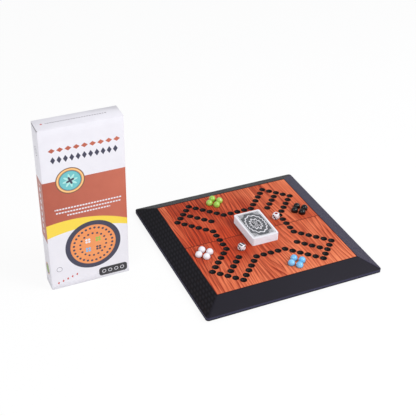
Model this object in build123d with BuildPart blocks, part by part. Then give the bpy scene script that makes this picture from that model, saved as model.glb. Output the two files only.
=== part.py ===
"""Folding marble-track board game: two hinged tray halves, marbles, dice, cards and a tuck-top carton.

The set stands on z = 0. X runs along the board's front edge, Y towards its back, Z up. The origin is
the centre of the set's footprint, so the board sits right of it and the carton left of it.
"""

import os
from math import sqrt

from build123d import *

# ---- board: driving dimensions (mm) ------------------------------------------------------------
board_size = 372.0           # outer square, open flat
border_w = 36.0              # black border round the playing plates
hole_dia = 12.5
hole_margin = 9.7            # outermost holes to the plates' edge
cup_depth = 4.0              # thickness of the drilled playing plates
board_height = 26.0          # table to playing surface
slope_drop = 16.5            # height lost over the sloped border
lip = 1.2                    # flat edge between the plate and the slope
wall = 2.5                   # moulded wall
boss_wall = 1.6              # round the magnets
floor_t = 2.0                # tray floor under the plates
corner_r = 6.0               # outer corners in plan
lip_corner_r = 2.0           # the slope's inner corners
seam = 0.3                   # gap between the two halves
plate_gap = 0.15             # plate to recess
foot_h = 2.8                 # rubber feet, which hold the hinge knuckles off the table
foot_r = 5.0
post_r = 6.0                 # posts that carry the feet
post_inset = 14.0            # post centre from the outer wall
post_seam_inset = 12.0       # and from the seam
post_stagger = 14.0          # front and rear posts miss each other when the board is shut by this much
rib_t = 1.6
rib_depth = 5.0
rib_pitch = 60.0
magnet_r = 4.0
magnet_t = 3.0
magnet_x = 60.0              # closing magnets, left and right of the middle
magnet_inset = 10.0          # from the outer wall
fit_gap = 0.05               # radial clearance of pins and magnets

# ---- hinge -------------------------------------------------------------------------------------
hinge_x = 110.0              # two hinges, left and right
knuckle_len = 9.0
knuckle_gap = 0.3
knuckle_r = 2.5
knuckle_relief = 0.4         # clearance of a knuckle in the other half's wall
pin_r = 1.1
hinge_drop = 0.1             # axis below the rim, so the shut rims lie 0.2 mm apart

# ---- marbles, dice and cards -------------------------------------------------------------------
marble_r = 7.0
marble_seat = 0.02               # lifts a marble just clear of the rim
home_steps = 7.9                 # home clusters: hole pitches from the middle ...
home_side_steps = 2.0            # ... and to the side of it
home_reach = 11.6                # centre of a cluster to each of its four holes
link_holes = 3                   # holes between two arms
arm_steps = 4.857                # hole pitches from the middle of the board to the foot of an arm
die_size = 12.5
die_edge_r = 2.2
die_left = (-48.5, -44.0, 20.0)  # x, y from the board's middle, turn
die_right = (62.9, 23.6, 33.0)
card_w, card_l = 57.0, 88.0
card_t = 0.32
card_corner = 3.5
card_count = 54
deck_at = (4.6, 0.5)             # from the board's middle
card_shift = 0.5                 # how far the top cards lie off the block

# ---- carton ------------------------------------------------------------------------------------
card_board = 1.0             # carton wall
carton_w, carton_d, carton_h = 152.0, 38.0, 340.0
carton_gap = 77.0            # carton to board, side by side
carton_front = 8.0           # its front panel, from the board's middle
crease = 0.3                 # clearance at a fold
tongue_len = 14.0
tongue_side = 6.5            # tongue's ends from the side panels
tongue_taper = 4.0           # each end drawn in by this much
tongue_corner = 5.0
lid_corner = 2.0
flap_len = 28.0              # dust flaps
flap_rear = 2.0              # flap's root from the rear panel
flap_front = 5.0             # and from the front panel's outside
flap_taper_rear = 0.55       # drawn in per mm of length, so the lid clears it
flap_taper_front = 0.31      # and the tongue

# ---- worked out from the above -----------------------------------------------------------------
plateau_size = board_size - 2 * border_w     # square of the two playing plates
hole_pitch = (plateau_size / 2 - hole_margin - home_reach - hole_dia / 2) / home_steps
home_along = home_steps * hole_pitch
home_aside = home_side_steps * hole_pitch
arm_reach = arm_steps * hole_pitch
board_x = (carton_w + carton_gap) / 2        # middle of the board
carton_x = board_x - board_size / 2 - carton_gap - carton_w / 2
carton_back = carton_front + carton_d
rim_z = foot_h
border_top = plateau_size + 2 * lip
border_run = (board_size - border_top) / 2
wall_top = board_height - slope_drop
plate_z = board_height - cup_depth
skin = wall * sqrt(border_run**2 + slope_drop**2) / border_run   # wall measured upright in the slope
ceiling = plate_z - floor_t
axis_z = rim_z - hinge_drop
deck_t = card_count * card_t


def slope_z(half):
    """Height of the border's outside at this distance from the middle."""
    return board_height - (half - border_top / 2) * slope_drop / border_run


hollow_low = board_size / 2 - wall
hollow_high = board_size / 2 - (ceiling + skin - wall_top) * border_run / slope_drop
post_y_out = board_size / 2 - post_inset
post_x = {1: board_size / 2 - post_inset - post_stagger, -1: board_size / 2 - post_inset}
magnet_y = board_size / 2 - magnet_inset
lid_z = carton_h - card_board

os.makedirs("parts", exist_ok=True)


def save(part, name):
    part.label = name
    export_step(part, f"parts/{name}.step")


# ---- track layout ------------------------------------------------------------------------------
def turned(vec):
    return Vector(-vec.Y, vec.X, 0)


def track():
    """Every hole but the home clusters: four diagonal arms of 5 + 10 + 4 holes, joined by links."""
    arms = [Vector(x, y, 0).normalized() for x, y in ((1, 1), (-1, 1), (-1, -1), (1, -1))]
    holes = []
    for k, out in enumerate(arms):
        side = turned(out)
        holes += [out * (arm_reach + 5 * hole_pitch) + side * (j * hole_pitch) for j in range(-2, 3)]
        holes += [
            out * (arm_reach + i * hole_pitch) + side * (s * 2 * hole_pitch)
            for i in range(5)
            for s in (-1, 1)
        ]
        holes += [out * (arm_reach + (5 - i) * hole_pitch) for i in range(1, 5)]
        nxt = arms[(k + 1) % 4]
        start = out * arm_reach + side * (2 * hole_pitch)
        end = nxt * arm_reach - turned(nxt) * (2 * hole_pitch)
        n = link_holes + 1
        holes += [start + (end - start) * (i / n) for i in range(1, n)]
    return holes


homes = {
    "green": (-home_aside, home_along),
    "white": (-home_along, -home_aside),
    "blue": (home_aside, -home_along),
    "black": (home_along, home_aside),
}


def home_holes(centre):
    x, y = centre
    return [
        Vector(x + home_reach, y, 0),
        Vector(x, y + home_reach, 0),
        Vector(x - home_reach, y, 0),
        Vector(x, y - home_reach, 0),
    ]


all_holes = track() + [hole for centre in homes.values() for hole in home_holes(centre)]


# ---- moulded tray halves -----------------------------------------------------------------------
def knuckle_spots(side):
    """Rear tray (side 1) has the two outer knuckles of each hinge, the front tray the middle one."""
    step = knuckle_len + knuckle_gap
    offsets = (-step, step) if side == 1 else (0,)
    return [board_x + s * hinge_x + o for s in (-1, 1) for o in offsets]


def hollow(side):
    """The space under one half, with its ribs, foot posts and magnet bosses left standing."""
    with BuildPart() as space:
        with BuildSketch(Plane.XY.offset(rim_z)):
            with Locations((board_x, 0)):
                Rectangle(2 * hollow_low, 2 * hollow_low)
        extrude(amount=slope_z(hollow_low) - skin - rim_z)
        with BuildSketch(Plane.XY.offset(slope_z(hollow_low) - skin)):
            with Locations((board_x, 0)):
                Rectangle(2 * hollow_low, 2 * hollow_low)
        with BuildSketch(Plane.XY.offset(ceiling)):
            with Locations((board_x, 0)):
                Rectangle(2 * hollow_high, 2 * hollow_high)
        loft(ruled=True)
        split(bisect_by=Plane.XZ.offset(-side * (seam / 2 + wall)), keep=Keep.BOTTOM if side == 1 else Keep.TOP)
        with BuildSketch(Plane.XY.offset(ceiling - rib_depth)):
            with Locations((board_x, side * board_size / 4)):
                with GridLocations(rib_pitch, 0, 5, 1):
                    Rectangle(rib_t, board_size)
                Rectangle(board_size, rib_t)
        extrude(amount=rib_depth, mode=Mode.SUBTRACT)
        with BuildSketch(Plane.XY.offset(rim_z)):
            with Locations(*[(board_x + s * post_x[side], side * y) for s in (-1, 1) for y in (post_seam_inset, post_y_out)]):
                Circle(post_r)
            with Locations(*[(board_x + s * magnet_x, side * magnet_y) for s in (-1, 1)]):
                Circle(magnet_r + boss_wall)
        extrude(amount=ceiling - rim_z, mode=Mode.SUBTRACT)
    return space.part


def tray(side):
    with BuildPart() as half:
        with BuildSketch(Plane.XY.offset(rim_z)):
            with Locations((board_x, 0)):
                RectangleRounded(board_size, board_size, corner_r)
        extrude(amount=wall_top - rim_z)
        with BuildSketch(Plane.XY.offset(wall_top)):
            with Locations((board_x, 0)):
                RectangleRounded(board_size, board_size, corner_r)
        with BuildSketch(Plane.XY.offset(board_height)):
            with Locations((board_x, 0)):
                RectangleRounded(border_top, border_top, lip_corner_r)
        loft(ruled=True)
        split(bisect_by=Plane.XZ.offset(-side * seam / 2), keep=Keep.BOTTOM if side == 1 else Keep.TOP)
        add(hollow(side), mode=Mode.SUBTRACT)
        # recess for the playing plate, open towards the seam
        with BuildSketch(Plane.XY.offset(plate_z)):
            with Locations((board_x, 0)):
                Rectangle(plateau_size + 2 * plate_gap, plateau_size + 2 * plate_gap)
        extrude(amount=cup_depth, mode=Mode.SUBTRACT)
        # magnet pockets, open at the rim
        with BuildSketch(Plane.XY.offset(rim_z)):
            with Locations(*[(board_x + s * magnet_x, side * magnet_y) for s in (-1, 1)]):
                Circle(magnet_r + fit_gap)
        extrude(amount=magnet_t + fit_gap, mode=Mode.SUBTRACT)
        # hinge: clear the other half's knuckles, then add and bore this half's
        for x in knuckle_spots(-side):
            with BuildSketch(Plane.YZ.offset(x - knuckle_len / 2 - knuckle_gap)):
                with Locations((0, axis_z)):
                    Circle(knuckle_r + knuckle_relief)
            extrude(amount=knuckle_len + 2 * knuckle_gap, mode=Mode.SUBTRACT)
        for x in knuckle_spots(side):
            with BuildSketch(Plane.YZ.offset(x - knuckle_len / 2)):
                with Locations((0, axis_z)):
                    Circle(knuckle_r)
            extrude(amount=knuckle_len)
            with BuildSketch(Plane.YZ.offset(x - knuckle_len / 2)):
                with Locations((0, axis_z)):
                    Circle(pin_r + fit_gap)
            extrude(amount=knuckle_len, mode=Mode.SUBTRACT)
    return half.part


save(tray(1), "tray_rear")
save(tray(-1), "tray_front")


# ---- drilled playing plates --------------------------------------------------------------------
def plate(side):
    spots = [(board_x + h.X, h.Y) for h in all_holes if side * h.Y > -hole_dia / 2]
    with BuildPart() as sheet:
        with BuildSketch(Plane.XY.offset(plate_z)):
            with Locations((board_x, side * (plateau_size + seam) / 4)):
                Rectangle(plateau_size, (plateau_size - seam) / 2)
            with Locations(*spots):
                Circle(hole_dia / 2, mode=Mode.SUBTRACT)
        extrude(amount=cup_depth)
    return sheet.part


save(plate(1), "plate_rear")
save(plate(-1), "plate_front")

# ---- hinge pins, feet and magnets --------------------------------------------------------------
for name, s in (("left", -1), ("right", 1)):
    pin_len = 3 * knuckle_len + 2 * knuckle_gap
    with BuildPart() as pin:
        with BuildSketch(Plane.YZ.offset(board_x + s * hinge_x - pin_len / 2)):
            with Locations((0, axis_z)):
                Circle(pin_r)
        extrude(amount=pin_len)
    save(pin.part, f"hinge_pin_{name}")

for half, side in (("rear", 1), ("front", -1)):
    for name, s in (("left", -1), ("right", 1)):
        for where, y in (("inner", post_seam_inset), ("outer", post_y_out)):
            with BuildPart() as foot:
                with BuildSketch():
                    with Locations((board_x + s * post_x[side], side * y)):
                        Circle(foot_r)
                extrude(amount=foot_h)
            save(foot.part, f"foot_{half}_{where}_{name}")
        with BuildPart() as magnet:
            with BuildSketch(Plane.XY.offset(rim_z + fit_gap)):
                with Locations((board_x + s * magnet_x, side * magnet_y)):
                    Circle(magnet_r)
            extrude(amount=magnet_t)
        save(magnet.part, f"magnet_{half}_{name}")

# ---- marbles: each rests on its hole's rim -----------------------------------------------------
marble_z = board_height + sqrt(marble_r**2 - (hole_dia / 2) ** 2) + marble_seat
for colour, centre in homes.items():
    for i, hole in enumerate(home_holes(centre), 1):
        with BuildPart() as marble:
            with Locations((board_x + hole.X, hole.Y, marble_z)):
                Sphere(marble_r)
        save(marble.part, f"marble_{colour}_{i}")

# ---- dice --------------------------------------------------------------------------------------
for name, (x, y, turn) in (("left", die_left), ("right", die_right)):
    with BuildPart() as die:
        with Locations(Location((board_x + x, y, board_height + die_size / 2), (0, 0, turn))):
            Box(die_size, die_size, die_size)
        fillet(die.edges(), die_edge_r)
    save(die.part, f"die_{name}")


# ---- cards: a squared-up block and the two top cards -------------------------------------------
def cards(z, count, dx, dy, turn):
    with BuildPart() as pack:
        with BuildSketch(Plane.XY.offset(z)):
            with Locations(Location((board_x + deck_at[0] + dx, deck_at[1] + dy, 0), (0, 0, turn))):
                RectangleRounded(card_w, card_l, card_corner)
        extrude(amount=count * card_t)
    return pack.part


save(cards(board_height, card_count - 2, 0, 0, 0), "deck_block")
save(cards(board_height + (card_count - 2) * card_t, 1, -card_shift, card_shift / 2, 0.4), "card_second")
save(cards(board_height + (card_count - 1) * card_t, 1, card_shift / 2, card_shift, -0.3), "card_top")

# ---- carton ------------------------------------------------------------------------------------
carton_y = (carton_front + carton_back) / 2
with BuildPart() as sleeve:
    with BuildSketch():
        with Locations((carton_x, carton_y)):
            Rectangle(carton_w, carton_d)
            Rectangle(carton_w - 2 * card_board, carton_d - 2 * card_board, mode=Mode.SUBTRACT)
    extrude(amount=lid_z)
save(sleeve.part, "carton_sleeve")

with BuildPart() as base:
    with BuildSketch():
        with Locations((carton_x, carton_y)):
            Rectangle(carton_w - 2 * card_board, carton_d - 2 * card_board)
    extrude(amount=card_board)
save(base.part, "carton_base")

with BuildPart() as lid:
    with BuildSketch(Plane.XY.offset(lid_z)):
        with Locations((carton_x, carton_y)):
            Rectangle(carton_w, carton_d)
    extrude(amount=card_board)
    fillet(lid.edges().filter_by(Axis.Z).group_by(Axis.Y)[0], lid_corner)
save(lid.part, "carton_lid")

# tongue: hangs from the lid just behind the front panel, with drawn-in lower corners
tongue_y = carton_front + card_board + crease
tongue_w = carton_w - 2 * card_board - 2 * tongue_side
with BuildPart() as tongue:
    with BuildSketch(Plane.XZ.offset(-tongue_y)):
        with BuildLine():
            FilletPolyline(
                (carton_x - tongue_w / 2, lid_z - fit_gap),
                (carton_x - tongue_w / 2 + tongue_taper, lid_z - tongue_len),
                (carton_x + tongue_w / 2 - tongue_taper, lid_z - tongue_len),
                (carton_x + tongue_w / 2, lid_z - fit_gap),
                radius=tongue_corner,
            )
            Line((carton_x + tongue_w / 2, lid_z - fit_gap), (carton_x - tongue_w / 2, lid_z - fit_gap))
        make_face()
    extrude(amount=-card_board)
save(tongue.part, "carton_tongue")


# dust flaps: folded in from the side panels under the lid
def dust_flap(s):
    root = carton_x + s * (carton_w / 2 - card_board - fit_gap)
    tip = root - s * flap_len
    rear = carton_back - flap_rear - card_board
    front = carton_front + flap_front
    with BuildPart() as flap:
        with BuildSketch(Plane.XY.offset(lid_z - fit_gap)):
            with BuildLine():
                Polyline(
                    (root, rear),
                    (tip, rear - flap_taper_rear * flap_len),
                    (tip, front + flap_taper_front * flap_len),
                    (root, front),
                    close=True,
                )
            make_face()
        extrude(amount=-card_board)
    return flap.part


save(dust_flap(-1), "carton_flap_left")
save(dust_flap(1), "carton_flap_right")

print("board middle at x", board_x, "| carton middle at x", carton_x, "| rim", rim_z, "axis", axis_z)
print("holes", len(all_holes), "| marble centre z", round(marble_z, 3), "| deck top", board_height + deck_t)
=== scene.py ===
"""Looks of a folding marble-track board game with its marbles, dice, cards and carton.

Every length in this file is in millimetres. It becomes metres where a mesh, a lamp or the camera is
made, and where a finish reads its Object coordinates.
The board lies right of the origin and the carton stands left of it, both on z = 0.
"""

from math import asin, cos, pi, radians, sin

import bmesh
import bpy
import numpy as np
from mathutils import Matrix, Vector


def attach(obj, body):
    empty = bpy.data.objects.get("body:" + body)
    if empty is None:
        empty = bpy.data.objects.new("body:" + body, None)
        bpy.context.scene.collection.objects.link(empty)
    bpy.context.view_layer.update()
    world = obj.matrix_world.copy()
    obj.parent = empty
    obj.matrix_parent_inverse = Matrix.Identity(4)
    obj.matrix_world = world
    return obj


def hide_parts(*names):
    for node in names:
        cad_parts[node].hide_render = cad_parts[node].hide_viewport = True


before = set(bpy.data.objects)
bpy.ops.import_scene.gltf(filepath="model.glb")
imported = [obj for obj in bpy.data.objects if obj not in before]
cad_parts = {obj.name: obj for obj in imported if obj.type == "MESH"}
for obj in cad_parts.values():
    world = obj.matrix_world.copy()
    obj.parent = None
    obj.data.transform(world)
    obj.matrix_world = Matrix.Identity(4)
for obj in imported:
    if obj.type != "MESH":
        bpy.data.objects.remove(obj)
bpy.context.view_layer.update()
MM = 0.001

# ---- sizes that the looks share with the CAD part ------------------------------------------------
board_x = 114.5                    # middle of the board
board_half, plate_half = 186.0, 150.0
wall_top = 9.5                     # where the border's slope starts
plate_bottom, plate_top = 22.0, 26.0
seam_half = 0.15
pitch = 15.5                       # between neighbouring holes
arm_steps = 4.857                  # pitches from the board's middle to the foot of an arm
home_steps, home_side_steps = 7.9, 2.0   # pitches from the middle to a home, outwards and sideways
home_reach = 11.6                  # from the middle of a home to its four holes
marble_r, marble_z = 7.0, 29.1724
cup_r, cup_gap = 6.2, 0.1
rim_r, rim_t = 7.05, 0.07          # thin rim of a cup, on top of the plate
die_size, die_edge = 12.5, 2.2
card_w, card_l, card_t, card_corner = 57.0, 88.0, 0.32, 3.5
card_count = 54
deck_x, deck_y = board_x + 4.6, 0.5
top_card_shift, top_card_turn = (0.25, 0.5), -0.3
carton_left, carton_w = -300.5, 152.0
carton_front, carton_d, carton_h = 8.0, 38.0, 340.0
card_board = 1.0
carton_x, carton_y = carton_left + carton_w / 2, carton_front + carton_d / 2
lid_z = carton_h - card_board
crease_gap = 0.05
tongue_len, tongue_side, tongue_taper, tongue_gap = 14.0, 6.5, 4.0, 0.3
flap_len, flap_rear_in, flap_front_in = 28.0, 3.0, 5.0
flap_taper_rear, flap_taper_front = 0.55, 0.31
slit_room = 2.2                    # the left flap starts this far in, clear of the sleeve's dip


# ==== meshes ======================================================================================
def grid_quads(rows, cols, wrap_rows=False, wrap_cols=False):
    """Corner numbers of the quads of a rows x cols grid of points, joined round where asked."""
    i = np.arange(rows if wrap_rows else rows - 1)[:, None]
    j = np.arange(cols if wrap_cols else cols - 1)[None, :]
    i2, j2 = (i + 1) % rows, (j + 1) % cols
    corners = [i * cols + j, i * cols + j2, i2 * cols + j2, i2 * cols + j]
    return np.stack([c + 0 * (i + j) for c in corners], -1).reshape(-1, 4)


def piece(name, points, quads, material, body, slot, stands_for=(), caps=(), smooth=True, **attributes):
    """Turns points (mm) and quads into one finished, closed object that rides on a body.

    Points that coincide are welded, quads that shrink to a line are dropped, and all faces are
    turned outwards. caps are whole polygons that close an end, and attributes are numbers kept on
    the points for a finish to read.
    """
    points = np.asarray(points, float).reshape(-1, 3)
    _, first, number = np.unique(np.round(points, 5), axis=0, return_index=True, return_inverse=True)
    number = number.reshape(-1)
    quads = number[np.asarray(quads)]
    same = quads == np.roll(quads, -1, axis=1)
    whole = quads[same.sum(1) == 0]
    pinched = quads[same.sum(1) == 1]
    kept = ~same[same.sum(1) == 1]
    thirds = pinched[kept].reshape(-1, 3)
    faces = whole.tolist() + thirds.tolist() + [number[np.asarray(c)].tolist() for c in caps]
    mesh = bpy.data.meshes.new(name)
    mesh.from_pydata((points[first] * MM).tolist(), [], faces)
    for label, values in attributes.items():
        layer = mesh.attributes.new(label, "FLOAT", "POINT")
        layer.data.foreach_set("value", np.asarray(values, np.float32).reshape(-1)[first])
    work = bmesh.new()
    work.from_mesh(mesh)
    bmesh.ops.recalc_face_normals(work, faces=work.faces[:])
    work.to_mesh(mesh)
    work.free()
    mesh.polygons.foreach_set("use_smooth", [smooth] * len(mesh.polygons))
    mesh.materials.append(material)
    thing = bpy.data.objects.new(name, mesh)
    bpy.context.scene.collection.objects.link(thing)
    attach(thing, body)
    if stands_for:
        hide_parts(*stands_for)
    return thing


def ball(centre, radius, rows=28, cols=44):
    """A sphere by polar angle a and turn t: radius * (sin a cos t, sin a sin t, cos a)."""
    a = np.linspace(0, pi, rows)[:, None]
    t = np.arange(cols)[None, :] * 2 * pi / cols
    unit = np.stack([np.sin(a) * np.cos(t), np.sin(a) * np.sin(t), np.cos(a) + 0 * t], -1)
    return unit * radius + np.asarray(centre), grid_quads(rows, cols, wrap_cols=True)


def rounded_outline(width, depth, corner, per_corner=5, per_side=1):
    """A rectangle's outline, anticlockwise: straight runs in per_side steps and quarter-circle corners.

    Returns the points and the outward directions there.
    """
    x, y = width / 2 - corner, depth / 2 - corner
    spots, ways = [], []
    centres = [(x, y), (-x, y), (-x, -y), (x, -y)]
    for k, (cx, cy) in enumerate(centres):
        turn = np.linspace(k * pi / 2, (k + 1) * pi / 2, per_corner + 1)
        way = np.stack([np.cos(turn), np.sin(turn)], -1)
        arc = np.array([cx, cy]) + corner * way
        nx, ny = centres[(k + 1) % 4]
        share = (np.arange(1, per_side) / per_side)[:, None]
        end = np.array([nx, ny]) + corner * way[-1]
        spots += [arc, arc[-1] + (end - arc[-1]) * share]
        ways += [way, np.repeat(way[-1:], per_side - 1, 0)]
    return np.concatenate(spots), np.concatenate(ways)


def outward(outline):
    """Directions out of a closed anticlockwise outline: the mean of the two edges' normals."""
    edge = np.roll(outline, -1, 0) - outline
    normal = np.stack([edge[:, 1], -edge[:, 0]], -1)
    normal /= np.linalg.norm(normal, axis=1, keepdims=True)
    both = normal + np.roll(normal, 1, 0)
    return both / np.linalg.norm(both, axis=1, keepdims=True)


def stack_rings(outline, ways, insets, heights):
    """Rings of one outline, each drawn in by its inset and set at its height: (rings, points, 3)."""
    insets, heights = np.asarray(insets, float), np.asarray(heights, float)
    flat = outline[None] - ways[None] * insets[:, None, None]
    return np.concatenate([flat, np.broadcast_to(heights[:, None, None], (*flat.shape[:2], 1))], -1)


def capped(rings):
    """Quads between the rings, and the two polygons that close the first and the last."""
    count, around = rings.shape[:2]
    ends = [np.arange(around)[::-1], (count - 1) * around + np.arange(around)]
    return grid_quads(count, around, wrap_cols=True), ends


# ==== finishes ====================================================================================
def srgb(red, green, blue):
    """A colour read off a screen (0 to 255), as the linear numbers that a shader takes."""
    c = np.array([red, green, blue]) / 255
    lin = np.where(c <= 0.04045, c / 12.92, ((c + 0.055) / 1.055) ** 2.4)
    return (*[float(v) for v in lin], 1.0)


class Num:
    """A number in a node tree. Sums and functions of it add Math nodes."""

    def __init__(self, tree, out):
        self.tree, self.out = tree, out

    def do(self, kind, *others, clamp=False):
        node = self.tree.nodes.new("ShaderNodeMath")
        node.operation, node.use_clamp = kind, clamp
        for socket, value in zip(node.inputs, (self, *others)):
            plug(self.tree, value, socket)
        return Num(self.tree, node.outputs[0])

    def __add__(self, other):
        return self.do("ADD", other)

    def __sub__(self, other):
        return self.do("SUBTRACT", other)

    def __mul__(self, other):
        return self.do("MULTIPLY", other)

    def __truediv__(self, other):
        return self.do("DIVIDE", other)

    def __abs__(self):
        return self.do("ABSOLUTE")

    def least(self, other):
        return self.do("MINIMUM", other)

    def most(self, other):
        return self.do("MAXIMUM", other)

    def held(self):
        """This, kept between 0 and 1."""
        return self.do("ADD", 0.0, clamp=True)

    def sine(self):
        return self.do("SINE")

    def part(self):
        return self.do("FRACT")

    def below(self, level, soft):
        """1 where this is under level and 0 over it, blended over the width soft."""
        return (self * (-1 / soft)).do("ADD", level / soft + 0.5, clamp=True)


def plug(tree, value, socket):
    """Links a Num or a socket, or sets a constant on the socket itself."""
    if isinstance(value, Num):
        value = value.out
    if isinstance(value, bpy.types.NodeSocket):
        tree.links.new(value, socket)
    else:
        socket.default_value = value


class Finish:
    """A material with its Principled shader and the Object coordinates x, y, z in mm from a middle."""

    def __init__(self, name, middle=(0, 0, 0), turn=0.0, rough=0.5, **sockets):
        self.material = bpy.data.materials.new(name)
        self.material.use_nodes = True
        self.tree = self.material.node_tree
        self.shader = self.tree.nodes["Principled BSDF"]
        place = self.tree.nodes.new("ShaderNodeTexCoord")
        centre = self.tree.nodes.new("ShaderNodeMapping")
        centre.vector_type = "TEXTURE"
        centre.inputs["Location"].default_value = [v * MM for v in middle]
        centre.inputs["Rotation"].default_value[2] = radians(turn)
        centre.inputs["Scale"].default_value = (MM, MM, MM)
        self.tree.links.new(place.outputs["Object"], centre.inputs["Vector"])
        self.where = centre.outputs["Vector"]
        split = self.tree.nodes.new("ShaderNodeSeparateXYZ")
        self.tree.links.new(self.where, split.inputs[0])
        self.x, self.y, self.z = (Num(self.tree, split.outputs[i]) for i in range(3))
        self.set("Roughness", rough)
        for label, value in sockets.items():
            self.set(label.replace("_", " "), value)

    def set(self, label, value):
        plug(self.tree, value, self.shader.inputs[label])

    def spot(self, *coords):
        join = self.tree.nodes.new("ShaderNodeCombineXYZ")
        for socket, value in zip(join.inputs, coords):
            plug(self.tree, value, socket)
        return join.outputs[0]

    def noise(self, *coords, detail=3.0, rough=0.55):
        """Soft random field from 0 to 1 at these coordinates, one lump per unit."""
        node = self.tree.nodes.new("ShaderNodeTexNoise")
        self.tree.links.new(self.spot(*coords), node.inputs["Vector"])
        node.inputs["Scale"].default_value = 1.0
        node.inputs["Detail"].default_value = detail
        node.inputs["Roughness"].default_value = rough
        return Num(self.tree, node.outputs["Fac"])

    def lumps(self, size, **settings):
        """The same field with lumps of one size (mm) in every direction."""
        return self.noise(self.x / size, self.y / size, self.z / size, **settings)

    def mix(self, under, over, share):
        """Colour under, covered by colour over where share is 1."""
        node = self.tree.nodes.new("ShaderNodeMix")
        node.data_type = "RGBA"
        plug(self.tree, share, node.inputs[0])
        plug(self.tree, under, node.inputs[6])
        plug(self.tree, over, node.inputs[7])
        return node.outputs[2]

    def emboss(self, height, depth, strength=1.0):
        """Raises the surface by depth (mm) where height is 1."""
        node = self.tree.nodes.new("ShaderNodeBump")
        node.inputs["Strength"].default_value = strength
        node.inputs["Distance"].default_value = depth * MM
        plug(self.tree, height, node.inputs["Height"])
        self.tree.links.new(node.outputs["Normal"], self.shader.inputs["Normal"])

    def value(self, label):
        """A number stored on the mesh's own points."""
        node = self.tree.nodes.new("ShaderNodeAttribute")
        node.attribute_name = label
        return Num(self.tree, node.outputs["Fac"])


def reach(a, b):
    """Length of the vector (a, b)."""
    return (a * a + b * b).do("SQRT")


def disc(a, b, ca, cb, radius):
    """Distance outside a circle."""
    return reach(a - ca, b - cb) - radius


def block(a, b, ca, cb, half_a, half_b, corner=0.0):
    """Distance outside a rectangle with round corners."""
    qa = abs(a - ca) - (half_a - corner)
    qb = abs(b - cb) - (half_b - corner)
    return reach(qa.most(0.0), qb.most(0.0)) + qa.most(qb).least(0.0) - corner


def lozenges(a, b, cb, step, half_a, half_b):
    """A row of lozenges, one every step along a at height cb: under 0 inside them, 0 on their edges."""
    cell = abs((a / step).part() - 0.5) * step
    return cell / half_a + abs(b - cb) / half_b - 1.0


# ---- wood-print sheet on the drilled plates ------------------------------------------------------
def wood_print():
    """Growth rings: fract(x / spacing + a field stretched along y), which bends them into cathedrals.

    Narrow streaks and fibres along y lie over them. Each half of the board, and each plank-wide strip
    of the print, has its own seed. Painted sheen makes the print lighter to the right, the front and the
    edges, and painted shade darkens a patch left of the deck.
    """
    plank_w, ring_w, fine_w = 98.0, 6.6, 4.4
    f = Finish("wood_print_sheet", (board_x, 0, 0), Specular_IOR_Level=0.2)
    half = f.y.do("GREATER_THAN", 0.0)
    plank = (f.x / plank_w + half * 0.37).do("FLOOR")
    seed = half * 7.3 + plank * 2.9
    field = f.noise(f.x / 70.0, f.y / 300.0, seed + 11.0, detail=1.0, rough=0.4)
    sway = f.noise(f.x / 16.0, f.y / 90.0, seed, detail=2.0)
    ring = (f.x / ring_w + field * 12.0 + sway * 0.5).part()
    fine = (f.x / fine_w + field * 19.0 + sway * 0.9).part()
    fibre = f.noise(f.x / 0.9, f.y / 40.0, seed, detail=4.0, rough=0.7)
    streak = f.noise(f.x / 2.9, f.y / 190.0, seed + 5.0, detail=2.0, rough=0.6)
    late = ring * ring * 0.8 + fine * fine * 0.35 + (streak - 0.5) * 2.2
    cloud = f.noise(f.x / 62.0, f.y / 105.0, seed + 3.0, detail=2.0)
    # painted sheen: lighter to the right, the front and the edges; painted shade: darker in a patch left of
    # the deck; random cloud tone is mixed in too
    painted_shade_patch = reach((f.x + 40.0) / 75.0, f.y / 85.0).below(0.7, 1.2)
    painted_sheen_slope = (f.x * 0.3 - f.y * 0.4) / 330.0 + abs(f.y) / 480.0 + 0.31
    tone_and_painted_light = (painted_sheen_slope + (cloud - 0.5) * 1.5 - painted_shade_patch * 0.5).held()
    # pale and deep each run from a shaded copy to a lit copy of the wood tone, by the painted light and the
    # cloud
    pale = f.mix(srgb(204, 70, 32), srgb(244, 142, 98), tone_and_painted_light)
    deep = f.mix(srgb(116, 25, 9), srgb(172, 66, 38), tone_and_painted_light)
    share = (late + (fibre - 0.5) * 0.9 + (cloud - 0.5) * -0.6 + 0.02).held()
    wood = f.mix(pale, deep, share)
    # painted shade: the print turns dark red in its last millimetre, where the border's slope meets it
    rim = (abs(f.x).most(abs(f.y))).below(plate_half - 1.0, 0.5)
    wood = f.mix(srgb(44, 16, 12), wood, rim)
    # painted shade: a dark red line along the seam between the two halves
    wood = f.mix(wood, srgb(46, 12, 8), abs(f.y).below(0.75, 0.4) * 0.9)
    off_print = f.z.below(plate_top - 0.06, 0.04)
    f.set("Base Color", f.mix(wood, srgb(8, 8, 9), off_print))
    f.set("Roughness", fibre * 0.16 + 0.4)
    f.emboss(fibre * 0.5 + late * 0.5, 0.04, 0.4)
    return f.material


# ---- black moulded border ------------------------------------------------------------------------
def weave(along, up, cell_l=12.5, cell_h=5.6, slant=0.9):
    """Staggered lens cells: |sin| across each cell in both directions, every other row half a cell on."""
    row = (up / cell_h).do("FLOOR")
    a = ((along + up * slant) / cell_l + row * 0.5) * pi
    b = (up / cell_h) * pi
    return abs(a.sine()) * abs(b.sine())


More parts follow.
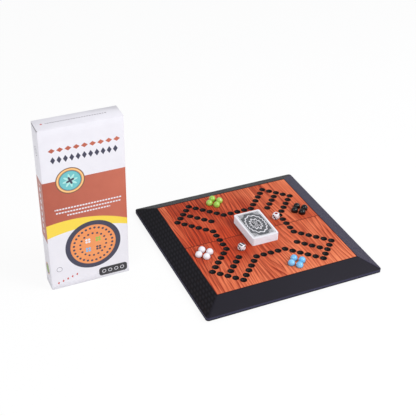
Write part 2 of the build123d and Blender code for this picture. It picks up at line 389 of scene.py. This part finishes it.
def border_plastic():
    """Black plastic: lens weave on the left slope, twill on the others (faint in front), plain wall. Painted
    shade darkens the left and rear slopes and the foot of the wall; painted light lightens the right slope
    and the wall.
    """
    f = Finish("border_plastic", (board_x, 0, 0), Specular_IOR_Level=0.14)
    side_on = abs(f.x) - abs(f.y)
    along = f.x + (f.y - f.x) * side_on.do("GREATER_THAN", 0.0)
    up = abs(f.x).most(abs(f.y))
    lens = weave(along, up)
    thread = pi / 2.6
    twill = abs(((along + up) * thread).sine()) * abs(((along - up) * thread).sine())
    left = (f.x + abs(f.y)).below(0.0, 0.5)
    front = (f.y + abs(f.x)).below(0.0, 0.5)
    sloped = f.z.do("GREATER_THAN", wall_top + 0.1)
    grain = f.lumps(0.9, detail=2.0)
    cloud = f.noise(f.x / 70.0, f.y / 70.0, f.z / 30.0, detail=2.0)
    pattern = lens * left + twill * (left * -1.0 + 1.0) * (front * -0.8 + 1.0)
    base = f.mix(srgb(22, 20, 28), srgb(29, 26, 37), cloud)
    # painted shade: the left slope darker than the others
    base = f.mix(base, srgb(11, 10, 13), left * sloped * 0.85)
    base = f.mix(base, srgb(46, 45, 52), pattern * sloped * 0.45)
    # painted sheen: the right slope lighter and more violet than the others
    right = (f.x - abs(f.y)).do("GREATER_THAN", 0.0)
    base = f.mix(base, srgb(66, 61, 84), right * sloped * 0.6)
    # painted shade: the rear slope darker than the others
    rear = (f.y - abs(f.x)).do("GREATER_THAN", 0.0)
    base = f.mix(base, srgb(7, 7, 10), rear * sloped * 0.75)
    # painted light: the upright wall all round lighter and bluer than the slopes
    base = f.mix(base, srgb(60, 58, 84), (sloped * -1.0 + 1.0) * 0.7)
    # painted shadow: a near-black band at the foot of the wall, up to 5 mm
    base = f.mix(base, srgb(8, 7, 10), f.z.below(5.0, 0.5))
    f.set("Base Color", base)
    f.set("Roughness", grain * 0.12 + pattern * -0.1 + 0.46)
    f.emboss(pattern * sloped + grain * 0.12, 0.22, 0.55)
    return f.material


def plain_plastic(name, colour, rough, speck=0.12, **sockets):
    """Moulded plastic or rubber: fine speckle in roughness and colour."""
    f = Finish(name, **sockets)
    grain = f.lumps(0.8, detail=3.0)
    cloud = f.lumps(9.0, detail=2.0)
    darker = [c * 0.72 for c in colour[:3]] + [1.0]
    f.set("Base Color", f.mix(darker, colour, (cloud * 0.7 + grain * 0.45).held()))
    f.set("Roughness", (grain - 0.5) * speck + rough)
    f.emboss(grain, 0.02, 0.4)
    return f.material


def marble_glass(name, colour, pale, rough=0.14, coat=0.5, **sockets):
    """Opaque glass: slow swirls between two tones, under a clear gloss."""
    f = Finish(name, rough=rough, Coat_Weight=coat, Coat_Roughness=0.05, **sockets)
    wander = f.lumps(6.0, detail=2.0) * 2.4
    swirl = ((f.x * 0.55 + f.z * 0.8) / 3.2 + wander).sine() * 0.5 + 0.5
    f.set("Base Color", f.mix(colour, pale, swirl * 0.45))
    f.emboss(f.lumps(3.0, detail=1.0), 0.02, 0.3)
    return f.material


def brushed_metal(name, colour, rough):
    """Drawn metal: fine scratches along x."""
    f = Finish(name, Metallic=1.0)
    scratch = f.noise(f.x / 9.0, f.y / 0.12, f.z / 0.12, detail=3.0)
    f.set("Base Color", f.mix([c * 0.8 for c in colour[:3]] + [1.0], colour, scratch))
    f.set("Roughness", scratch * 0.25 + (rough - 0.12))
    f.emboss(scratch, 0.01, 0.5)
    return f.material


def die_ivory():
    """White moulded dice with pips painted inside their dishes."""
    f = Finish("die_ivory", Specular_IOR_Level=0.4)
    inside = f.value("pip_reach").below(1.08, 0.1)
    ink = f.mix(srgb(3, 3, 5), srgb(140, 8, 5), f.value("pip_red"))
    grain = f.lumps(2.0, detail=2.0)
    ivory = f.mix(srgb(226, 224, 230), srgb(242, 240, 244), grain)
    f.set("Base Color", f.mix(ivory, ink, inside))
    f.set("Roughness", inside * 0.35 + 0.3)
    f.emboss(grain, 0.03, 0.3)
    return f.material


def card_stock():
    """White card seen edge-on: each of the block's cards has its own faint tone, and painted shade darkens
    the line between neighbouring cards.
    """
    f = Finish("card_stock", rough=0.5)
    layer = ((f.z - plate_top) / card_t).do("FLOOR")
    tone = f.noise(layer * 3.7, 0.5, 0.5, detail=0.0)
    groove = abs(((f.z - plate_top) / card_t).part() - 0.5).below(0.4, 0.1)
    paper = f.lumps(0.7)
    white = f.mix(srgb(236, 236, 243), srgb(248, 248, 252), tone * 0.6 + paper * 0.4)
    # painted shade: a slightly darker line between neighbouring cards
    f.set("Base Color", f.mix(srgb(226, 223, 232), white, groove))
    f.emboss(groove, 0.03, 0.5)
    return f.material


def card_back():
    """Generic lace back: frame lines, corner fans, two rosettes and a lattice, white on charcoal."""
    middle = (deck_x + top_card_shift[0], deck_y + top_card_shift[1], 0)
    f = Finish("card_back", middle, top_card_turn, rough=0.42, Coat_Weight=0.15, Coat_Roughness=0.3)
    a, b = f.x, f.y
    half_a, half_b = card_w / 2, card_l / 2
    ink, white = srgb(34, 36, 40), srgb(236, 235, 240)
    mesh = 0.95
    lattice = abs(((a + b) * mesh).sine()) * abs(((a - b) * mesh).sine())
    colour = f.mix(ink, srgb(150, 152, 158), lattice.below(0.16, 0.1))
    turn = b.do("ARCTAN2", a)
    oval = reach(a * 1.25, b * 0.82)
    petals = (turn * 12.0).sine() * 2.0 + 13.0
    colour = f.mix(colour, white, abs(oval - petals).below(1.3, 0.6))
    colour = f.mix(colour, ink, oval.below(10.2, 0.6))
    colour = f.mix(colour, white, abs(oval - 24.0 - (turn * 16.0).sine() * 1.2).below(1.1, 0.6))
    for shift in (5.2, -5.2):
        ring = reach(a, b + shift)
        wheel = (b + shift).do("ARCTAN2", a)
        colour = f.mix(colour, white, abs(ring - 4.2 - (wheel * 7.0).sine() * 0.9).below(0.55, 0.4))
        colour = f.mix(colour, white, ring.below(1.4, 0.4))
    corner = reach(abs(a) - (half_a - 5.5), abs(b) - (half_b - 5.5))
    fan = abs((corner * 1.5).sine()).below(0.55, 0.3) * corner.below(12.5, 0.6)
    colour = f.mix(colour, white, fan)
    edge = block(a, b, 0, 0, half_a - 5.2, half_b - 5.2, 1.0)
    colour = f.mix(colour, white, abs(edge).below(0.55, 0.3))
    colour = f.mix(white, colour, edge.below(1.5, 0.2))
    colour = f.mix(white, colour, block(a, b, 0, 0, half_a - 3.6, half_b - 3.6, 1.5).below(0.0, 0.2))
    printed = f.z.do("GREATER_THAN", plate_top + (card_count - 0.1) * card_t)
    f.set("Base Color", f.mix(white, colour, printed))
    f.emboss(f.noise(a / 0.9, b / 0.9, 0.0), 0.015, 0.4)
    return f.material


# ---- printed carton ------------------------------------------------------------------------------
def carton_print():
    """White card with a terracotta band, a yellow sweep, a medallion and a dotted wheel, all generic."""
    f = Finish("carton_print", (carton_left, carton_front, 0), Coat_Weight=0.25, Coat_Roughness=0.2)
    u, w, v = f.x, f.y, f.z
    paper = f.lumps(24.0)
    white = f.mix(srgb(221, 219, 226), srgb(232, 230, 236), paper)
    fade = (u / 190.0 + (paper - 0.5) * 0.5).held()
    rust = f.mix(srgb(170, 78, 54), srgb(196, 102, 76), fade)
    navy, teal, gold = srgb(48, 48, 72), srgb(104, 186, 190), srgb(224, 150, 74)
    yellow, orange, red = srgb(240, 208, 62), srgb(226, 124, 58), srgb(196, 62, 44)
    band_top, band_low = 236.0, 108.0
    seal_u, seal_v = 50.0, 232.0
    wheel_mid, spoke = 84.0, 14.0

    # front and rear panels: band and sweep, lozenge rows, dashes, medallion, wheel, bar, small signs
    front = f.mix(rust, white, (v - band_top).do("GREATER_THAN", 0.0))
    sweep = disc(u, v, 46.0, -92.0, 242.0)
    front = f.mix(front, yellow, sweep.below(0.0, 0.3))
    front = f.mix(front, white, disc(u, v, 68.0, -120.0, 247.0).below(0.0, 0.3))
    wide_row = lozenges(u, v, 297.0, 14.5, 6.2, 4.6).below(0.0, 0.08)
    front = f.mix(front, rust, wide_row * block(u, v, 79.75, 297, 65.25, 8).below(0.0, 0.2))
    tall_row = lozenges(u + 5.4, v, 278.0, 11.2, 4.4, 7.0).below(0.0, 0.08)
    front = f.mix(front, navy, tall_row * block(u, v, 78.6, 278, 61.6, 8).below(0.0, 0.2))
    for k, (mid, long) in enumerate(((176.0, 62.0), (168.5, 60.0), (161.0, 40.0))):
        dash = ((u + 1.7 * k) / 5.3).part().below(0.72, 0.1)
        front = f.mix(front, white, dash * block(u, v, 80.0, mid, long, 1.4).below(0.0, 0.2))
    seal = reach(u - seal_u, v - seal_v)
    spin = (v - seal_v).do("ARCTAN2", u - seal_u)
    front = f.mix(front, srgb(92, 70, 62), seal.below(26.5, 0.4))
    front = f.mix(front, gold, seal.below(25.0, 0.4))
    front = f.mix(front, srgb(248, 214, 150), abs(seal - 23.0).below(0.7, 0.4))
    front = f.mix(front, srgb(46, 108, 128), seal.below(20.6, 0.4))
    front = f.mix(front, teal, seal.below(19.0, 1.5))
    front = f.mix(front, srgb(170, 222, 216), (seal - (spin * 8.0).sine() * 4.0).below(10.0, 1.0))
    front = f.mix(front, navy, (seal - (spin * 4.0).sine() * 2.6).below(5.4, 0.5))
    wheel = reach(u - wheel_mid, v - wheel_mid)
    angle = (v - wheel_mid).do("ARCTAN2", u - wheel_mid)
    front = f.mix(front, navy, wheel.below(53.0, 0.4))
    front = f.mix(front, f.mix(orange, srgb(240, 160, 96), paper), wheel.below(43.5, 0.4))
    for ring, count, dot in ((37.0, 28.0, 2.3), (25.0, 18.0, 2.1)):
        along = abs((angle * (count / (2 * pi))).part() - 0.5) * (2 * pi * ring / count)
        front = f.mix(front, navy, reach(along, wheel - ring).below(dot, 0.3))
    for k, shade in enumerate((srgb(140, 190, 70), white, srgb(110, 180, 226), navy)):
        turn = pi / 4 + k * pi / 2
        mid_u, mid_v = wheel_mid + spoke * cos(turn), wheel_mid + spoke * sin(turn)
        near = reach(abs(u - mid_u) - 2.6, abs(v - mid_v) - 2.6)
        front = f.mix(front, shade, near.below(2.3, 0.3))
    front = f.mix(front, srgb(30, 28, 34), block(u, v, 120.0, 15.0, 28.0, 9.5, 6.0).below(0.0, 0.3))
    for k in range(4):
        front = f.mix(front, white, abs(disc(u, v, 102.0 + 12.0 * k, 15.0, 3.4)).below(0.5, 0.2))
    rising_row = lozenges(u, v - (u - 10.0) * 0.3, 12.0, 9.0, 2.0, 3.0).below(0.0, 0.1)
    front = f.mix(front, red, rising_row * block(u, v, 30, 16, 22, 14).below(0.0, 0.2))
    front = f.mix(front, srgb(110, 108, 120), abs(disc(u, v, 17.0, 44.0, 5.0)).below(0.4, 0.2))

    # side panels
    side = f.mix(white, rust, abs(v - (band_top + band_low) / 2).below((band_top - band_low) / 2, 0.2))
    column = lozenges(v, w, 19.0, 13.0, 5.6, 4.0).below(0.0, 0.1) * abs(v - 174.0).below(52.0, 0.2)
    side = f.mix(side, white, column)
    oval = reach((w - 20.0) * 1.25, v - 38.0)
    side = f.mix(side, gold, oval.below(13.0, 0.4))
    side = f.mix(side, navy, oval.below(11.2, 0.4))
    side = f.mix(side, srgb(128, 180, 66), oval.below(8.4, 0.4))
    for radius, width in ((8.5, 0.55), (4.0, 0.5)):
        loop = abs(reach((w - 19.0) * 1.2, v - 292.0) - radius).below(width, 0.3)
        side = f.mix(side, srgb(96, 94, 108), loop)

    # lid
    stitches = (u / 4.6).part().below(0.66, 0.1) * block(u, w, 74.0, 20.0, 54.0, 0.9).below(0.0, 0.2)
    lid = f.mix(white, srgb(120, 112, 122), stitches)
    lid = f.mix(lid, red, disc(u, w, 13.0, 20.0, 1.8).below(0.0, 0.3))

    # which panel this is, and whether it is the bare inside
    on_front = abs(w - carton_d / 2).do("GREATER_THAN", carton_d / 2 - 0.8)
    colour = f.mix(side, front, on_front)
    colour = f.mix(colour, lid, v.do("GREATER_THAN", lid_z + 0.35))
    raw = f.lumps(0.5)
    bare = f.mix(srgb(196, 188, 178), srgb(222, 216, 208), raw)
    inner_u = abs(u - carton_w / 2).below(carton_w / 2 - 0.6, 0.1)
    inner_w = abs(w - carton_d / 2).below(carton_d / 2 - 0.6, 0.1)
    inner_v = abs(v - carton_h / 2).below(carton_h / 2 - 0.35, 0.1)
    colour = f.mix(colour, bare, inner_u * inner_w * inner_v)
    f.set("Base Color", colour)
    f.set("Roughness", paper * 0.12 + 0.3)
    f.emboss(f.lumps(1.6), 0.03, 0.35)
    return f.material


def raw_card():
    """Unprinted card: grey-white pulp."""
    f = Finish("raw_card", rough=0.75)
    pulp = f.lumps(0.7, detail=4.0)
    f.set("Base Color", f.mix(srgb(190, 182, 172), srgb(226, 221, 214), pulp))
    f.emboss(pulp, 0.05, 0.5)
    return f.material


finishes = {
    "wood": wood_print(),
    "border": border_plastic(),
    "cup": plain_plastic("cup_plastic", srgb(9, 8, 10), 0.5, Specular_IOR_Level=0.2),
    "rubber": plain_plastic("foot_rubber", srgb(40, 40, 42), 0.75),
    "pin": brushed_metal("pin_steel", srgb(188, 188, 192), 0.3),
    "magnet": brushed_metal("magnet_nickel", srgb(206, 204, 200), 0.22),
    "marble_green": marble_glass("green_glass", srgb(160, 206, 74), srgb(188, 222, 120)),
    "marble_white": marble_glass("white_glass", srgb(236, 234, 241), srgb(247, 246, 250)),
    "marble_blue": marble_glass("blue_glass", srgb(106, 186, 236), srgb(156, 214, 248)),
    "marble_black": marble_glass(
        "black_glass", srgb(4, 4, 5), srgb(9, 9, 11), rough=0.08, coat=0.0, Specular_IOR_Level=0.42
    ),
    "die": die_ivory(),
    "stock": card_stock(),
    "back": card_back(),
    "carton": carton_print(),
    "raw": raw_card(),
}

# Solids of the CAD part that stay as they are and take a finish from here.
kept_finish = {"plate": "wood", "tray": "border", "foot": "rubber", "hinge": "pin", "magnet": "magnet"}
for name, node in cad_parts.items():
    kind = name.split("_")[0]
    chosen = kept_finish.get(kind)
    if kind == "carton":
        chosen = "raw" if name == "carton_base" else "carton"
    if chosen:
        for place in node.material_slots:
            place.material = finishes[chosen]


# ==== board =======================================================================================
def arm_holes():
    """Centres (from the board's middle) of the track: four diagonal arms joined by links."""
    foot = arm_steps * pitch
    holes = []
    for k in range(4):
        turn = pi / 4 + k * pi / 2
        out = np.array([cos(turn), sin(turn)])
        side = np.array([-out[1], out[0]])
        after = np.array([cos(turn + pi / 2), sin(turn + pi / 2)])
        bar = out * (foot + 5 * pitch) + side * pitch * np.arange(-2, 3)[:, None]
        steps = np.arange(5)[:, None] * pitch
        rails = [out * foot + out * steps + s * side * 2 * pitch for s in (-1, 1)]
        lane = out * foot + out * np.arange(1, 5)[:, None] * pitch
        start = out * foot + side * 2 * pitch
        end = after * foot + out * 2 * pitch
        link = start + (end - start) * (np.arange(1, 4) / 4)[:, None]
        holes += [bar, *rails, lane, link]
    return np.concatenate(holes)


homes = {
    "green": (-home_side_steps * pitch, home_steps * pitch, "board_rear"),
    "white": (-home_steps * pitch, -home_side_steps * pitch, "board_front"),
    "blue": (home_side_steps * pitch, -home_steps * pitch, "board_front"),
    "black": (home_steps * pitch, home_side_steps * pitch, "board_rear"),
}
around_home = home_reach * np.array([(1, 0), (0, 1), (-1, 0), (0, -1)])


def cup_profile():
    """Radius and height round a cup's section: a bowl concentric with the marble, a thin rim that lies
    on the plate round the hole, and the cup's outside."""
    bowl = marble_r + cup_gap
    a = np.linspace(0, asin((cup_r - 0.12) / bowl), 5)
    inside = np.stack([bowl * np.sin(a), marble_z - bowl * np.cos(a)], -1)
    rim_top, sunk, neck = plate_top + rim_t, plate_top - 0.02, cup_r + 0.2
    rim = [(cup_r, plate_top - 0.12), (cup_r + 0.25, rim_top), (rim_r - 0.1, rim_top), (rim_r, sunk)]
    wall = [(neck, sunk), (neck, plate_top - 0.5), (cup_r, plate_top - 0.6)]
    outside = rim + wall + [(cup_r, plate_bottom + 0.01), (0, plate_bottom + 0.01)]
    return np.concatenate([inside, outside])


def cups(name, centres, body, at_seam, steps=18):
    """Bowls turned from one profile and repeated at every centre; those on the seam are half bowls."""
    section = cup_profile()
    t = np.arange(steps) * 2 * pi / steps
    ring = np.stack([np.cos(t), np.sin(t)], -1)
    one = np.concatenate([
        section[:, None, :1] * ring[None],
        np.broadcast_to(section[:, None, 1:], (len(section), len(t), 1)),
    ], -1)
    shift = np.concatenate([centres, np.zeros((len(centres), 1))], 1)
    points = (one.reshape(1, -1, 3) + shift[:, None, :]).reshape(-1, 3)
    one_quads = grid_quads(len(section), len(t), wrap_cols=True)
    quads = (one_quads[None] + (np.arange(len(centres)) * one[..., 0].size)[:, None, None]).reshape(-1, 4)
    piece(name, points, quads, finishes["cup"], body, "tray")
    side = 1 if body == "board_rear" else -1
    t = np.linspace(0, pi, steps // 2 + 1)
    for label, spot in zip(("left", "right"), at_seam):
        small = section * [(cup_r - seam_half) / cup_r, 1.0]
        half = np.stack([
            small[:, :1] * np.cos(t) + spot[0],
            side * (small[:, :1] * np.sin(t) + seam_half),
            np.broadcast_to(small[:, 1:], (len(small), len(t))),
        ], -1)
        rows, cols = half.shape[:2]
        ends = [np.arange(rows) * cols, np.arange(rows)[::-1] * cols + cols - 1]
        piece(f"{name}_seam_{label}", half, grid_quads(rows, cols), finishes["cup"], body, "tray", caps=ends)


track = arm_holes() + [board_x, 0]
on_seam = track[np.abs(track[:, 1]) < 1.0]
on_seam = on_seam[np.argsort(on_seam[:, 0])]
for half, side in (("rear", 1), ("front", -1)):
    mine = [track[side * track[:, 1] > 1.0]]
    mine += [around_home + [board_x + hx, hy] for hx, hy, body in homes.values() if body == "board_" + half]
    cups(f"cups_{half}", np.concatenate(mine), "board_" + half, on_seam)

for colour, (hx, hy, body) in homes.items():
    for k, (dx, dy) in enumerate(around_home, 1):
        label = f"marble_{colour}_{k}"
        points, quads = ball((board_x + hx + dx, hy + dy, marble_z), marble_r)
        slot = "marble_" + colour
        piece("glass_" + label, points, quads, finishes[slot], label, slot, [label])

# ==== dice ========================================================================================
pip_r, pip_depth, pip_step, ace_scale = 1.8, 0.45, 3.1, 1.6
die_ball = 8.3                     # radius of the ball that cuts a die's corners
die_steps = 49                     # grid points along each edge of a face
pip_spots = {
    1: [(0, 0)],
    2: [(-1, -1), (1, 1)],
    3: [(-1, -1), (0, 0), (1, 1)],
    4: [(-1, -1), (-1, 1), (1, -1), (1, 1)],
    5: [(-1, -1), (-1, 1), (1, -1), (1, 1), (0, 0)],
    6: [(-1, -1), (-1, 0), (-1, 1), (1, -1), (1, 0), (1, 1)],
}


def die(name, x, y, turn, faces):
    """Six grids pushed onto a rounded cube: the nearest point of the inner cube plus edge radius outwards,
    then no further from the middle than a ball that cuts the corners off.

    Each pip is a shallow round dish, depth * sqrt(1 - (distance / radius) squared). faces gives the
    count on +x, -x, +y, -y, +z and -z of the unturned die.
    """
    n, h = die_steps, die_size / 2
    a, b = np.meshgrid(np.linspace(-h, h, n), np.linspace(-h, h, n), indexing="ij")
    points, quads, from_pip, red = [], [], [], []
    for k, count in enumerate(faces):
        axis, sign = k // 2, 1 - 2 * (k % 2)
        spots = np.array(pip_spots[count], float) * pip_step
        wide = pip_r * (ace_scale if count == 1 else 1.0)
        far = np.sqrt((a[..., None] - spots[:, 0]) ** 2 + (b[..., None] - spots[:, 1]) ** 2).min(-1) / wide
        p = np.empty((n, n, 3))
        p[..., axis] = sign * h
        p[..., (axis + 1) % 3] = a
        p[..., (axis + 2) % 3] = b
        core = np.clip(p, -(h - die_edge), h - die_edge)
        way = p - core
        p = core + die_edge * way / np.linalg.norm(way, axis=-1, keepdims=True)
        p *= np.minimum(1, die_ball / np.linalg.norm(p, axis=-1, keepdims=True))
        p[..., axis] -= sign * pip_depth * np.sqrt(np.clip(1 - far**2, 0, 1))
        quads.append(grid_quads(n, n) + k * n * n)
        points.append(p.reshape(-1, 3))
        from_pip.append(np.minimum(far, 2).ravel())
        red.append(np.full(n * n, float(count == 1)))
    spin = np.array(Matrix.Rotation(radians(turn), 3, "Z"))
    placed = np.concatenate(points) @ spin.T + [board_x + x, y, plate_top + h]
    piece(
        "ivory_" + name, placed, np.concatenate(quads), finishes["die"], name, "die", [name],
        pip_reach=np.concatenate(from_pip), pip_red=np.concatenate(red),
    )


die("die_left", -48.5, -44.0, 20.0, (4, 3, 5, 2, 6, 1))
die("die_right", 62.9, 23.6, 33.0, (4, 3, 5, 2, 1, 6))


# ==== cards =======================================================================================
def card_stack(name, first, count, shift, turn, wander, material, body):
    """Rounded-rectangle rings, four per card, each card moved by wander * sine of its number."""
    outline, ways = rounded_outline(card_w, card_l, card_corner, per_corner=4)
    layer = np.repeat(np.arange(count), 4)
    level = np.tile([0.0, 0.25, 0.75, 1.0], count) + layer
    inset = np.tile([0.1, 0.0, 0.0, 0.1], count)
    rings = stack_rings(outline, ways, inset, plate_top + (first + level) * card_t)
    rings[..., 0] += wander * np.sin(7.3 * layer)[:, None]
    rings[..., 1] += wander * np.sin(4.1 * layer + 1)[:, None]
    c, s = cos(radians(turn)), sin(radians(turn))
    flat = rings[..., :2] @ np.array([[c, s], [-s, c]]) + [deck_x + shift[0], deck_y + shift[1]]
    rings[..., :2] = flat
    quads, ends = capped(rings)
    piece("printed_" + name, rings, quads, material, body, "card", [name], caps=ends, smooth=False)


stock, back = finishes["stock"], finishes["back"]
card_stack("deck_block", 0, card_count - 2, (0, 0), 0.0, 0.14, stock, "deck_block")
card_stack("card_second", card_count - 2, 1, (-0.5, 0.25), 0.4, 0.0, stock, "card_second")
card_stack("card_top", card_count - 1, 1, top_card_shift, top_card_turn, 0.0, back, "card_top")


# ==== carton ======================================================================================
def sleeve():
    """A rectangular tube with round creases, carried up in z.

    Each panel bulges outwards by bulge * sin(pi * height share) * (1 - (width share) squared), the
    narrow ones by 0.4 of that. The left panel's top edge dips under the lid, which leaves the slit there.
    """
    outline, ways = rounded_outline(carton_w, carton_d, 1.6, per_corner=5, per_side=14)
    bulge, levels, dip, dip_reach = 0.45, 26, 2.6, 12.0
    share = np.clip(np.stack([
        1 - (np.abs(outline[:, 0]) / (carton_w / 2)) ** 2,
        1 - (np.abs(outline[:, 1]) / (carton_d / 2)) ** 2,
    ], -1), 0, 1)
    swell = np.where(np.abs(ways[:, 0]) > np.abs(ways[:, 1]), share[:, 1] * 0.4, share[:, 0])
    up = np.linspace(0, 1, levels)
    insets = np.concatenate([[0.5], np.zeros(levels), [0.25], np.full(levels + 1, card_board)])
    outer, inner = 0.4 + up * (lid_z - 0.7), (lid_z - 0.3) - up * (lid_z - 0.6)
    heights = np.concatenate([[0], outer, [lid_z], inner, [0]])
    swell_up = np.concatenate([[0], np.sin(pi * up), [0], np.sin(pi * up[::-1]), [0]])
    rings = stack_rings(outline, ways, insets, heights)
    rings[..., :2] += ways[None] * (bulge * swell_up[:, None] * swell[None])[..., None]
    left = np.clip(-ways[:, 0] * 1.2 - 0.2, 0, 1)
    left *= np.clip((carton_d / 2 - np.abs(outline[:, 1])) / 1.5, 0, 1)
    rings[..., 2] -= dip * left[None] * np.clip((rings[..., 2] - lid_z + dip_reach) / dip_reach, 0, 1)
    rings += [carton_x, carton_y, 0]
    quads = grid_quads(len(heights), len(outline), wrap_rows=True, wrap_cols=True)
    piece("printed_carton_sleeve", rings, quads, finishes["carton"], "carton", "carton", ["carton_sleeve"])


def card_panel(name, outline, low, high, place, body):
    """A flat panel of card with softened edges, from its outline and thickness, put in place by a map."""
    soft = 0.3
    ways = outward(outline)
    rings = stack_rings(outline, ways, [soft, 0, 0, soft], [low, low + soft, high - soft, high])
    quads, ends = capped(rings)
    piece("printed_" + name, place(rings), quads, finishes["carton"], body, "carton", [name], caps=ends)


def rounded_corners(corners, radius, steps=6):
    """A convex polygon's outline with each corner replaced by an arc between the two tangent points."""
    corners = np.asarray(corners, float)
    radius = np.broadcast_to(radius, len(corners))
    arcs = []
    for k, r in enumerate(radius):
        here = corners[k]
        back, ahead = corners[k - 1] - here, corners[(k + 1) % len(corners)] - here
        back, ahead = back / np.linalg.norm(back), ahead / np.linalg.norm(ahead)
        half = np.arccos(np.clip(back @ ahead, -1, 1)) / 2
        middle = (back + ahead) / np.linalg.norm(back + ahead)
        centre = here + middle * r / np.sin(half)
        start, end = here + back * r / np.tan(half) - centre, here + ahead * r / np.tan(half) - centre
        t = np.linspace(0, 1, steps)[:, None]
        way = start * (1 - t) + end * t
        arcs.append(centre + r * way / np.linalg.norm(way, axis=1, keepdims=True))
    return np.concatenate(arcs)


sleeve()
lid_half = carton_w / 2 - 0.2
lid_rear, lid_front = carton_front + carton_d, carton_front
lid_corners = [(-lid_half, lid_front), (lid_half, lid_front), (lid_half, lid_rear), (-lid_half, lid_rear)]
card_panel(
    "carton_lid", rounded_corners(lid_corners, [2.0, 2.0, 0.4, 0.4]), lid_z, carton_h,
    lambda p: p + [carton_x, 0, 0], "carton_lid",
)

tongue_half = carton_w / 2 - card_board - tongue_side
tongue_tip = tongue_half - tongue_taper
tongue_y = carton_front + card_board + tongue_gap
root, tip = lid_z - crease_gap, lid_z - tongue_len
tongue_corners = [(-tongue_tip, tip), (tongue_tip, tip), (tongue_half, root), (-tongue_half, root)]
card_panel(
    "carton_tongue", rounded_corners(tongue_corners, [5.0, 5.0, 0.4, 0.4]), 0.0, card_board,
    lambda p: np.stack([p[..., 0] + carton_x, tongue_y + p[..., 2], p[..., 1]], -1), "carton_tongue",
)

flap_top = lid_z - crease_gap
flap_rear, flap_front = carton_front + carton_d - flap_rear_in, carton_front + flap_front_in
for side, s, clear in (("left", -1, slit_room), ("right", 1, crease_gap)):
    root = carton_x + s * (carton_w / 2 - card_board - clear)
    tip = root - s * flap_len
    tip_rear, tip_front = flap_rear - flap_taper_rear * flap_len, flap_front + flap_taper_front * flap_len
    corners = [(root, flap_front), (root, flap_rear), (tip, tip_rear), (tip, tip_front)]
    outline = rounded_corners(corners[::s], [0.4, 0.4, 3.0, 3.0][::s])
    name = "carton_flap_" + side
    card_panel(name, outline, flap_top - card_board, flap_top, lambda p: p, name)


# ==== floor, light and camera =====================================================================
def floor_paper():
    """White paper that keeps most of a shadow's shape but shows white to the camera."""
    material = bpy.data.materials.new("floor_paper")
    material.use_nodes = True
    tree = material.node_tree
    nodes, links = tree.nodes, tree.links
    nodes.clear()
    paper = nodes.new("ShaderNodeBsdfDiffuse")
    paper.inputs["Color"].default_value = (0.93, 0.93, 0.93, 1)
    glow = nodes.new("ShaderNodeEmission")
    glow.inputs["Strength"].default_value = 1.0
    path = nodes.new("ShaderNodeLightPath")
    share = nodes.new("ShaderNodeMath")
    share.operation = "MULTIPLY"
    share.inputs[1].default_value = 0.9
    blend = nodes.new("ShaderNodeMixShader")
    links.new(path.outputs["Is Camera Ray"], share.inputs[0])
    links.new(share.outputs[0], blend.inputs[0])
    links.new(paper.outputs[0], blend.inputs[1])
    links.new(glow.outputs[0], blend.inputs[2])
    links.new(blend.outputs[0], nodes.new("ShaderNodeOutputMaterial").inputs["Surface"])
    return material


sheet = bpy.data.meshes.new("floor")
far = 6000.0 * MM
sheet.from_pydata([(-far, -far, 0), (far, -far, 0), (far, far, 0), (-far, far, 0)], [], [(0, 1, 2, 3)])
sheet.materials.append(floor_paper())
floor = bpy.data.objects.new("floor", sheet)
bpy.context.scene.collection.objects.link(floor)

# The board's front half folds down past the table top, so the floor gives way under it: it never
# stands above these points of that half.
dice_top = plate_top + die_size + 0.1
marks = (("rim", -board_half, 0.0), ("wall", -board_half, wall_top), ("dice", -plate_half, dice_top),
         ("seam", -1.0, plate_top))
for label, y, z in marks:
    mark = bpy.data.objects.new("front_half_" + label, None)
    bpy.context.scene.collection.objects.link(mark)
    mark.location = (board_x * MM, y * MM, z * MM)
    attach(mark, "board_front")
    keep_under = floor.constraints.new("FLOOR")
    keep_under.target = mark
    keep_under.floor_location = "FLOOR_NEGATIVE_Z"

world = bpy.data.worlds.new("studio")
bpy.context.scene.world = world
world.use_nodes = True
nodes, links = world.node_tree.nodes, world.node_tree.links
nodes.clear()
dome, backdrop = nodes.new("ShaderNodeBackground"), nodes.new("ShaderNodeBackground")
dome.inputs["Color"].default_value = (0.96, 0.97, 1.0, 1)
dome.inputs["Strength"].default_value = 0.57
backdrop.inputs["Color"].default_value = (1, 1, 1, 1)
path, choose = nodes.new("ShaderNodeLightPath"), nodes.new("ShaderNodeMixShader")
links.new(path.outputs["Is Camera Ray"], choose.inputs[0])
links.new(dome.outputs[0], choose.inputs[1])
links.new(backdrop.outputs[0], choose.inputs[2])
links.new(choose.outputs[0], nodes.new("ShaderNodeOutputWorld").inputs["Surface"])


def softbox(name, spot, aim, size, power):
    """A square area lamp at spot (mm), turned to face aim (mm)."""
    lamp = bpy.data.lights.new(name, "AREA")
    lamp.size, lamp.energy = size * MM, power
    thing = bpy.data.objects.new(name, lamp)
    thing.location = Vector(spot) * MM
    thing.rotation_euler = (Vector(aim) - Vector(spot)).to_track_quat("-Z", "Y").to_euler()
    bpy.context.scene.collection.objects.link(thing)


softbox("softbox_right", (1250, -1050, 1650), (60, 0, 40), 1300, 33.0)
softbox("softbox_left", (-1300, -900, 1300), (60, 0, 40), 900, 9.0)

# The lens, and the camera's own axes and place, fitted to the board's corners and holes in the
# photograph.
lens = bpy.data.cameras.new("photo_camera")
lens.lens, lens.sensor_width, lens.sensor_fit = 74.79, 36.0, "HORIZONTAL"
lens.clip_start, lens.clip_end = 50 * MM, 60000 * MM
camera = bpy.data.objects.new("photo_camera", lens)
bpy.context.scene.collection.objects.link(camera)
right = Vector((0.91197, -0.40959, 0.02336))
up = Vector((0.21516, 0.52599, 0.82282))
behind = Vector((-0.34930, -0.74537, 0.56782))
eye = Vector((-566.59, -1234.01, 1050.38)) * MM
camera.matrix_world = Matrix.Translation(eye) @ Matrix((right, up, behind)).transposed().to_4x4()
bpy.context.scene.camera = camera
bpy.context.scene.view_settings.view_transform = "Standard"
